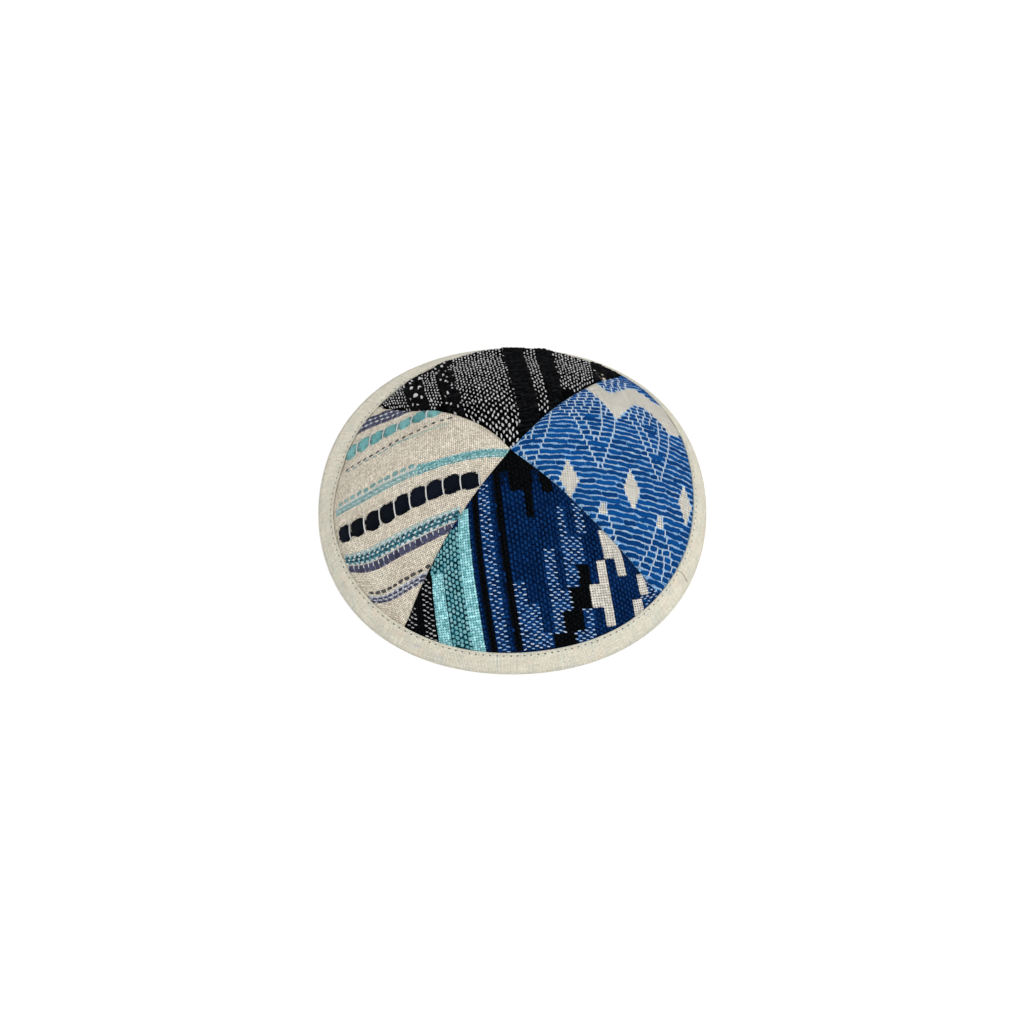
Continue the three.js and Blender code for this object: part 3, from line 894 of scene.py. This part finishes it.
# Navy panel: cotton in small raised cells, with stripes, stepped blocks and rows of pale blue picks
navyBlocks = dict(
    black=[(-14, 0, 14, 11.5), (-3, 8, 8, 22), (3, 20, 7, 35), (12, 13, 18, 23), (-22.5, 19, -19.5, 98),
           (-10.4, 10, -7.2, 98), (24, 58, 29.5, 69), (18.5, 69, 29, 80), (13.5, 80, 23.5, 91),
           (8, 91, 19, 98), (-70, 52, -47.5, 98)],
    cream=[(38.5, 42, 44, 56), (44, 44, 49, 65), (34, 56.5, 38.5, 90), (28.5, 68, 35, 79.5),
           (55, 65.5, 60, 76.5), (49.5, 78, 55, 88)],
    mint=[(-31, 26, -25, 98), (-47.5, 54, -41, 92)],
    teal=[(-41, 34, -31, 96), (-48, 30, -40, 54)],
    pale=[(-19.2, 15, -12.9, 98), (-7, 64, -1.6, 98), (-3, 75, 3.4, 98), (2, 90, 8, 98), (8.9, 50, 14.2, 91),
          (13, 70, 19, 80), (18, 30, 22, 69), (22, 44, 28.5, 58), (22, 57, 24, 69), (27, 28, 31.5, 44),
          (24, 79, 29, 90), (18.5, 90, 28, 98), (60, 67, 67, 80), (55, 77, 66, 88)],
    white=[(-54.5, 55, -47.5, 92), (-68, 68, -58, 80)],
)
navyCloth = groundCloth(dict(
    name="navy cotton dobby weave", colour="#011739", blotch="#03204b", pinholeShade="#38404c",
    pitch=(1.3, 1.3), wobble=0.4, threads=0.16, crossings=0.3, bump=0.45, roughness=0.88, sheen=0.0,
    specular=0.02,
    zones=[("paleEdge", "#052350", "#0e3f79"), ("blackEdge", "#030406", "#07080b"),
           ("tealEdge", "#06303a", "#11505e"), ("mintEdge", "#7fccd3", "#a9e2e8"),
           ("creamEdge", "#e6e1d5", "#d3cdc2")],
))
navyPicks = dict(
    pale=dict(piece="navy_pale_picks", yarn=("pale blue cotton pick", "#86bdf6", "#eaf5ff"), width=0.76,
              length=1.95, height=0.5, lean=81, blunt=2.0),
    white=dict(piece="navy_white_picks", yarn=("white cotton pick", "#9a9aa0", "#e6e6e6"), width=0.78,
               length=2.0, height=0.45, lean=72, blunt=2.0),
    teal=dict(piece="navy_mint_cells", yarn=("mint cotton cell", "#5db4c0", "#a8e0e6"), width=1.8,
              length=2.2, height=0.48, lean=8, blunt=2.4),
    plain=dict(piece="navy_blue_cells", yarn=("navy cotton cell", "#032350", "#134a8b"), width=1.22,
               length=1.95, height=0.44, lean=8, blunt=2.2),
    black=dict(piece="navy_black_cells", yarn=("black cotton cell", "#020304", "#0b0d11"), width=1.3,
               length=2.0, height=0.42, lean=8, blunt=2.2),
)


def navyColumns():
    index = np.arange(-42, 44)
    return -0.6 + np.where(index < 0, 1.95, 1.75) * index


def buildNavy():
    panel = panels["navy"]
    zones = {zone + "Edge": navyBlocks[zone] for zone in ("pale", "black", "teal", "mint", "cream")}
    sewPanel("navy_cloth_panel", panel, zones, navyCloth)
    u, v = lattice(panel, navyColumns(), lambda index: index * 2.67 - 0.1, 0.15, 0.12)
    depth = {zone: boxDistance(u, v, boxes) for zone, boxes in navyBlocks.items()}
    bare = (depth["cream"] > -0.5) | (depth["mint"] > 0)
    crown = draws.uniform(0, 1, u.shape) > smooth((v - 9) / 12)
    kinds = np.full(u.shape, "plain")
    kinds[(depth["black"] > 0) | crown] = "black"
    for zone in ("white", "pale", "teal"):
        kinds[depth[zone] > 0] = zone
    kinds[bare] = "bare"
    for kind, pick in navyPicks.items():
        yarns = newYarns()
        for placeU, placeV in zip(u[kinds == kind], v[kinds == kind]):
            tone = draws.uniform(0, 1)
            if kind == "plain":
                tone = tone * (0.35 + 0.65 * smooth((placeV - 8) / 22))
            layFloat(
                yarns, placeU, placeV, pick["width"] * draws.uniform(0.8, 1.15),
                pick["length"] * draws.uniform(0.78, 1.1), pick["height"] * draws.uniform(0.8, 1.2),
                lean=pick["lean"] + draws.normal(0, 9), blunt=pick["blunt"], tone=tone, rough=0.11,
            )
        finishYarns(pick["piece"], panel, yarns, spunYarn(
            *pick["yarn"], ply=0.5, specular=0.05, sheen=0.01))


buildNavy()
print("kippah: navy panel")

# Blue panel: royal blue weft floats over a pale ground, tied down along nested zigzags, with open diamonds
blueWeave = dict(
    lineIndex=[-30, -10, 3, 25], lineAt=[-96.7, -29.1, 10.3, 70.8], gap=0.58, height=0.6,
    tieGap=0.7, ringStep=0.85, longest=18.0, bricksFrom=21.0, bricksTo=88.0, brick=4.4,
)
blueCloth = groundCloth(dict(
    name="pale blue cotton ground", colour="#98c8f2", blotch="#86bbec", pinholeShade="#3a4048",
    pitch=(1.4, 1.22), wobble=0.35, threads=0.16, crossings=0.18, bump=0.4, roughness=0.85, sheen=0.0,
    specular=0.05, zones=[("creamEdge", "#e3dfd4", "#d3cec3")],
))
diamonds = [
    dict(u=-18.5, v=26, half=11.5, tall=4.9), dict(u=-19.5, v=59.2, half=11.5, tall=5.1),
    dict(u=-18.5, v=94.7, half=11.5, tall=5.3),
]
# small bare places at the points of the left zigzag
diamonds += [dict(u=-33.4, v=point, half=3.9, tall=2.7) for point in (42.4, 75.6)]
creamBand = [
    (53, 42), (45, 45.5), (35, 48.5), (25, 53), (19.5, 55.5), (26, 61), (32, 67), (36.5, 73), (33, 79),
    (27, 84.5), (20, 90), (22, 96), (26, 106), (50, 106), (44, 95), (42, 88), (48, 82), (52, 76), (50, 70),
    (46, 64.5), (41.5, 57), (50, 53.5), (58, 55),
]
# Tie lines about a point of the zigzag, as places across the panel and down from the point
tieLines = dict(
    right=[
        [(-9.5, -1.2), (-6.4, -2.5), (-0.4, -4.4), (5.8, -6.8), (11.5, -8.8), (17, -10.2), (22.5, -14),
         (28, -17.5)],
        [(-9.5, 1.0), (-6.4, 2.2), (-0.4, 5.1), (5.8, 7.5), (11.5, 9.7), (20, 11.8), (27, 14)],
        [(5.0, -1.3), (8.8, -3.0), (14.2, -4.4), (17, -6.5), (22.5, -8.4)],
        [(5.0, 0.6), (8.8, 1.8), (14.2, 3.6), (19.6, 4.2), (25, 5)],
    ],
    left=[
        [(-31, -1.5), (-34.5, -2.1), (-38, -3.2), (-43, -4.6), (-49, -6.6), (-53, -8.3), (-58, -10.5)],
        [(-31, 1.5), (-35, 2.4), (-38, 3.5), (-41, 4.7), (-44, 6), (-49, 8), (-55, 10)],
        [(-46, -0.9), (-50, -1.4), (-53, -2.2), (-60, -3.8)],
        [(-46, 1.3), (-50, 3.2), (-57, 4.7), (-62, 4.2)],
    ],
)
tiePoints = dict(right=[9.2, 42.5, 77.0], left=[42.4, 75.6])
# Places where the floats close up and hide the pale lines, as u, v and reach each way
solidBlue = [
    (2.0, 42.3, 3.6, 5.4), (18.0, 41.0, 5.2, 4.6), (2.5, 77.0, 3.6, 5.2), (18.0, 76.0, 5.0, 4.6),
    (6.5, 10.5, 3.2, 4.6), (-54.5, 80.0, 3.2, 6.0), (-29.5, 50.5, 3.4, 4.2), (-31.5, 65.5, 3.0, 3.2),
]


def blueLine(index):  # the pale line between two rows of floats
    return np.interp(index, blueWeave["lineIndex"], blueWeave["lineAt"])


def blueCream(u, v):  # the bare cloth's edges step from one row of floats to the next
    row = np.floor(np.interp(u, blueWeave["lineAt"], blueWeave["lineIndex"]))
    u = blueLine(row + 0.5)
    best = outlineDistance(u, v, creamBand)
    for diamond in diamonds:
        inside = (1 - np.abs(u - diamond["u"]) / diamond["half"]) * diamond["tall"] - np.abs(v - diamond["v"])
        best = np.maximum(best, np.clip(inside, -5, 5))
    return best


def closedShare(u, v):
    spots = [
        np.clip(3 - 3 * (np.abs(u - at) / wide + np.abs(v - down) / tall), 0, 1)
        for at, down, wide, tall in solidBlue
    ]
    return np.max(spots, 0)


def tiesOfRow(u, row):
    found = []
    for side, lines in tieLines.items():
        for point in tiePoints[side]:
            for line in lines:
                places = np.array(sorted(line), float)
                if places[0, 0] - 1.4 <= u <= places[-1, 0] + 1.4:
                    found.append(point + np.interp(u, places[:, 0], places[:, 1]))
    if u > blueWeave["bricksFrom"]:
        offset = 0.5 * (row % 2) + 0.12 * math.sin(row * 2.3)
        for brick in np.arange(2, blueWeave["bricksTo"] / blueWeave["brick"]):
            v = (brick + offset) * blueWeave["brick"] - 0.35 * (u - 20)
            if min(abs(v - tie) for tie in found + [-9]) > 2.2 and closedShare(u, v) < 0.3:
                found.append(v)
    return sorted(found)


def layRun(yarns, u, start, end, wide, height, sway, sides, drift):
    length = end - start
    rings = max(6, int(length / blueWeave["ringStep"]) + 3)
    share, full = roundedEnds(rings, 2.2 if length < 3 else 2.2 + length / 2.5)
    v = (end + start) / 2 + share * (length / 2 - 0.03)
    swing = drift * (np.sin(v * 0.62 + sway) + 0.5 * np.sin(v * 1.7 + 2 * sway))
    uneven = 1 + 0.1 * np.sin(v * 1.3 + sway * 3) + draws.normal(0, 0.07, rings)
    closed = closedShare(u + 0 * v, v)
    if wide > 1.3:
        wide = wide + (blueWeave["gap"] + 0.1) * closed
    else:
        uneven = uneven + 0.35 * np.sin(v * 0.83 + 5 * sway) + 0.25 * np.sin(v * 0.41 + sway)
        height = height * (1 - 1.2 * closed)
    layStrand(yarns, u + swing, v, wide * full * uneven, np.maximum(height * full, 0.01), draws.uniform(0, 1),
              sides=sides, square=0.85)


def openRuns(panel, u, ties, gap, creamMargin):
    steps = np.arange(0.5, 112, 0.25)
    line = np.full(len(steps), u)
    clear = (clothPlace(panel, line, steps)[2] > 0.2) & (blueCream(line, steps) < creamMargin)
    for tie in ties:
        clear &= np.abs(steps - tie) > gap / 2
    runs = []
    start = None
    for index, isClear in enumerate(clear):
        if isClear and start is None:
            start = steps[index]
        if start is None:
            continue
        tooLong = steps[index] - start > blueWeave["longest"] * (0.4 + 0.6 * math.sin(start * 9.1 + u) ** 2)
        if not isClear or tooLong or index == len(clear) - 1:
            if steps[index] - start > 0.9:
                runs.append((start, steps[index] - (0.12 if tooLong and isClear else 0)))
            start = steps[index] if isClear else None
    return runs


def buildBlue():
    panel = panels["blue"]
    sewPanel("blue_cloth_panel", panel, {"creamEdge": blueCream}, blueCloth)
    floats = newYarns()
    lines = newYarns()
    ties = newYarns()
    for row in range(-24, 26):
        left, right = blueLine(row), blueLine(row + 1)
        middle = (left + right) / 2
        span = right - left
        knots = tiesOfRow(middle, row)
        sway = draws.uniform(0, 6.3)
        for start, end in openRuns(panel, middle, knots, blueWeave["tieGap"], -0.1):
            layRun(floats, middle, start, end, span - blueWeave["gap"], blueWeave["height"], sway, 8, 0.3)
        for start, end in openRuns(panel, left, [], 0, -0.3):
            layRun(lines, left, start, end, 0.74, 0.34, sway, 6, 0.2)
        for knot in knots:
            if edgeDistance(panel, middle, knot) < 0.6 or blueCream(middle, knot) > -0.5:
                continue
            share = np.linspace(-1, 1, 7)
            layStrand(
                ties, middle + share * (span / 2 + 0.1), knot + draws.normal(0, 0.06) + 0.12 * share,
                np.full(7, 0.55) * (1 - 0.25 * np.abs(share)), np.full(7, 0.3), draws.uniform(0.3, 1),
                sink=0.0, base=0.16 + 0.12 * (1 - share ** 2),
            )
    finishYarns("blue_weft_floats", panel, floats, spunYarn(
        "royal blue cotton float", "#022d63", "#0b569f", ply=1.1, groove=0.8, specular=0.03, sheen=0.0))
    finishYarns("blue_pale_lines", panel, lines, spunYarn(
        "pale blue cotton warp", "#76b2ec", "#e2f1ff", ply=1.35, groove=0.35, specular=0.05, sheen=0.0))
    finishYarns("blue_pale_ties", panel, ties, spunYarn(
        "bleached cotton warp", "#bcd9f2", "#f3f8fc", ply=0.5, groove=0.82))


buildBlue()
print("kippah: blue panel")

# Rim tape: undyed linen tape, woven fine and pressed, folded over the cap's edge and stitched through
tapeLook = dict(
    steps=720, stitchUp=10.0, stitchDip=0.42, stitchPitch=3.45, bulge=0.3, perimeter=590.0,
    joinAt=-28.0, joinLean=-1.6, joinBend=0.7, joinLap=0.32, joinReach=7.0,
)


def tapeCloth():
    material, tree, shader = newMaterial(
        "undyed linen tape", Roughness=0.85, Specular_IOR_Level=0.15, Sheen_Weight=0.05)
    place = addNode(tree, "UVMap", {}, uv_map="ClothLay")
    # fine plain weave, drawn at 0.7 mm a thread, a little coarser than the real one so that it shows
    height, pin, tone = plainWeave(tree, place, (0.7, 0.7), 0.35)
    colour = linear("#e5e1d0")
    for scale, start, end, strength, code in (
        (0.13, 0.5, 0.66, 0.6, "#d4d8cc"), (0.17, 0.56, 0.7, 0.6, "#eedcc8"),
        (0.11, 0.62, 0.74, 0.6, "#ccd0d2"),
    ):
        cloud = addNode(tree, "TexNoise", {"Vector": place, "Scale": scale, "Detail": 4.0})
        share = addNode(tree, "MapRange", {
            "Value": cloud, "From Min": start, "From Max": end, "To Max": strength})
        colour = addNode(tree, "Mix", {0: share, 6: colour, 7: linear(code)}, **colourMix)
    # painted shade in the tape's pinholes, at six tenths of full strength, in the colour given below
    pinholeShade = addNode(tree, "Math", {0: pin, 1: 0.6}, operation="MULTIPLY")
    colour = threadTones(tree, place, tone, pinholeShade, colour, dict(
        stretch=(1.5, 0.1), detail=2.0, seen=(0.32, 0.66), pinholeShade="#9a8d78", threads=(0.9, 1.07),
        crossings=(0.9, 1.06)))
    join = addNode(tree, "Attribute", {}, 2, attribute_name="joinGap")
    gap = addNode(tree, "Math", {0: join}, operation="ABSOLUTE")
    line = addNode(tree, "MapRange", {
        "Value": gap, "From Min": 0.1, "From Max": 0.34, "To Min": 0.62, "To Max": 0.0})
    colour = addNode(tree, "Mix", {0: line, 6: colour, 7: linear("#6b5846")}, **colourMix)
    tree.links.new(colour, shader.inputs["Base Color"])
    bump = addNode(tree, "Bump", {"Height": height, "Distance": 0.22 * mm, "Strength": 1.0})
    tree.links.new(bump, shader.inputs["Normal"])
    return material


def joinGap(azimuth, up):  # millimetres past the line where the tape's folded end laps over its beginning
    share = up / tapeShape["width"] - 0.5
    line = tapeLook["joinLean"] * share + tapeLook["joinBend"] * math.sin(2 * math.pi * share)
    return float(np.radians(turnBetween(azimuth, tapeLook["joinAt"])) * rimRadius(azimuth)) - line


# The tape's section at one azimuth: distance out, height, place across the flat tape and join gap
def tapeStep(azimuth):
    thick = tapeShape["thickness"]
    pocket = clothDepth + capShape["cloth"] + capShape["sewnGap"]
    full = pocket + thick
    inner = tapeShape["innerWidth"]
    angle = math.radians(azimuth)
    pull = math.sin(angle * tapeLook["perimeter"] / tapeLook["stitchPitch"])
    ripple = 0.1 * math.sin(angle * 41 + 2 * math.sin(angle * 3)) + 0.07 * math.sin(angle * 67 + 1)
    radius = rimRadius(azimuth)
    fold = tapeShape["foldRadius"]
    rows = []
    for part in range(4):  # bottom fold
        turn = math.pi / 2 * part / 3
        rows.append((radius - fold + fold * math.sin(turn), fold - fold * math.cos(turn), part * 0.4, 99.0))
    outer = [(up, 0.0) for up in (2.2, 4.0, 6.0, 7.8, 9.0, 9.7, 10.0, 10.35)]
    # folded edge
    outer += [(10.75, -0.02), (11.1, 0.1), (11.3, 0.45), (11.32, 0.8), (11.2, 1.12), (10.9, 1.26)]
    for place, (up, depth) in enumerate(outer):
        gap = joinGap(azimuth, up)
        lap = 0
        if gap > 0:
            lap = tapeLook["joinLap"] * smooth(gap / 0.25) * (1 - smooth(gap / tapeLook["joinReach"]))
        swell = (ripple - tapeLook["bulge"]) * math.sin(math.pi * up / 10) if up < 10 else 0
        dip = tapeLook["stitchDip"] * math.exp(-((up - tapeLook["stitchUp"]) / 0.5) ** 2) * (0.8 + 0.2 * pull)
        if place > 9:
            lap = dip = 0
        out, height = tapeSection(azimuth, up, depth + swell + dip - lap)
        rows.append((float(out), float(height), up + 1.0 + 0.5 * (place > 9), gap if place < 12 else 99.0))
    run = float(tapeRun(azimuth))
    rise = math.sqrt(1 - run * run)
    low = (thick + thick * run) / rise
    lowPocket = (thick + pocket * run) / rise
    lowFull = full * run / rise
    corners = [
        (low, thick), (lowPocket, pocket), (inner - 0.4, pocket), (inner, pocket + 0.3),
        (inner, full - 0.3), (inner - 0.4, full), ((lowFull + inner) / 2, full + 0.15), (lowFull, full),
    ]
    for step, (up, inward) in enumerate(corners):
        out, height = tapeSection(azimuth, up, inward)
        rows.append((float(out), max(float(height), 0.0), 14.0 + step * 3, 99.0))
    return rows


def buildTape():
    fine = tapeLook["joinAt"] + np.arange(-1.7, 1.7, 0.08)
    even = np.arange(tapeLook["steps"]) * 360 / tapeLook["steps"]
    around = np.sort(np.concatenate([even, np.mod(fine, 360)]))
    points = []
    lay = []
    gaps = []
    for azimuth in around:
        angle = math.radians(azimuth)
        for out, height, across, gap in tapeStep(float(azimuth)):
            points.append((out * math.cos(angle), out * math.sin(angle), height))
            lay.append((across, tapeLook["perimeter"] * azimuth / 360))
            gaps.append(gap)
    count = len(points) // len(around)
    ring = np.arange(len(points)).reshape(len(around), count)
    after = np.roll(ring, -1, 0)
    faces = np.stack([ring, after, np.roll(after, -1, 1), np.roll(ring, -1, 1)], -1).reshape(-1, 4).tolist()
    band = addPiece("tape_band", points, faces, tapeCloth(), "rim_band")
    addMap(band.data, "ClothLay", lay)
    # the last segment's map runs on past the tape's beginning
    mapped = band.data.uv_layers["ClothLay"].uv
    for face in band.data.polygons[len(faces) - count:]:
        for loop in face.loop_indices:
            if band.data.loops[loop].vertex_index < count:
                mapped[loop].vector.y += tapeLook["perimeter"]
    addNumbers(band.data, "joinGap", gaps)


buildTape()


# Topstitching: short dark stitches that sink into the tape, about a millimetre from its folded edge
def buildStitches():
    points = []
    faces = []
    count = int(round(tapeLook["perimeter"] / tapeLook["stitchPitch"]))
    rings = (-1, -0.6, 0, 0.6, 1)
    sides = 6
    for stitch in range(count):
        azimuth = 360 * stitch / count + draws.normal(0, 0.08)
        long = draws.uniform(0.8, 1.2)
        up = tapeLook["stitchUp"] + draws.normal(0, 0.06)
        first = len(points)
        for share in rings:
            full = math.sqrt(max(1 - share * share, 0.02))
            turned = azimuth + math.degrees(share * long / 2 / float(rimRadius(azimuth)))
            for side in range(sides):
                angle = side * 2 * math.pi / sides
                out, height = tapeSection(
                    turned, up + 0.4 * full * math.cos(angle),
                    tapeLook["stitchDip"] - 0.1 - 0.26 * full * math.sin(angle),
                )
                away = math.radians(turned)
                points.append((float(out) * math.cos(away), float(out) * math.sin(away), float(height)))
        for start in range(first, len(points) - sides, sides):
            for side in range(sides):
                beside = (side + 1) % sides
                faces.append((start + side, start + beside, start + sides + beside, start + sides + side))
        faces.append(tuple(range(first + sides - 1, first - 1, -1)))
        faces.append(tuple(range(len(points) - sides, len(points))))
    thread, tree, shader = newMaterial("dark polyester sewing thread", Roughness=0.6, Specular_IOR_Level=0.3)
    rough = addNode(tree, "TexNoise", {"Scale": 900.0, "Detail": 2.0})
    shade = addNode(tree, "Mix", {0: rough, 6: linear("#1d1a17"), 7: linear("#4f473c")}, **colourMix)
    tree.links.new(shade, shader.inputs["Base Color"])
    addPiece("tape_topstitching", points, faces, thread, "rim_band")


buildStitches()
print("kippah: tape and topstitching")

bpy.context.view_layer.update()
meshes = [piece.data for piece in bpy.data.objects if piece.type == "MESH"]
total = sum(len(face.vertices) - 2 for mesh in meshes for face in mesh.polygons)
print("kippah: finished,", total, "triangles with the frame")
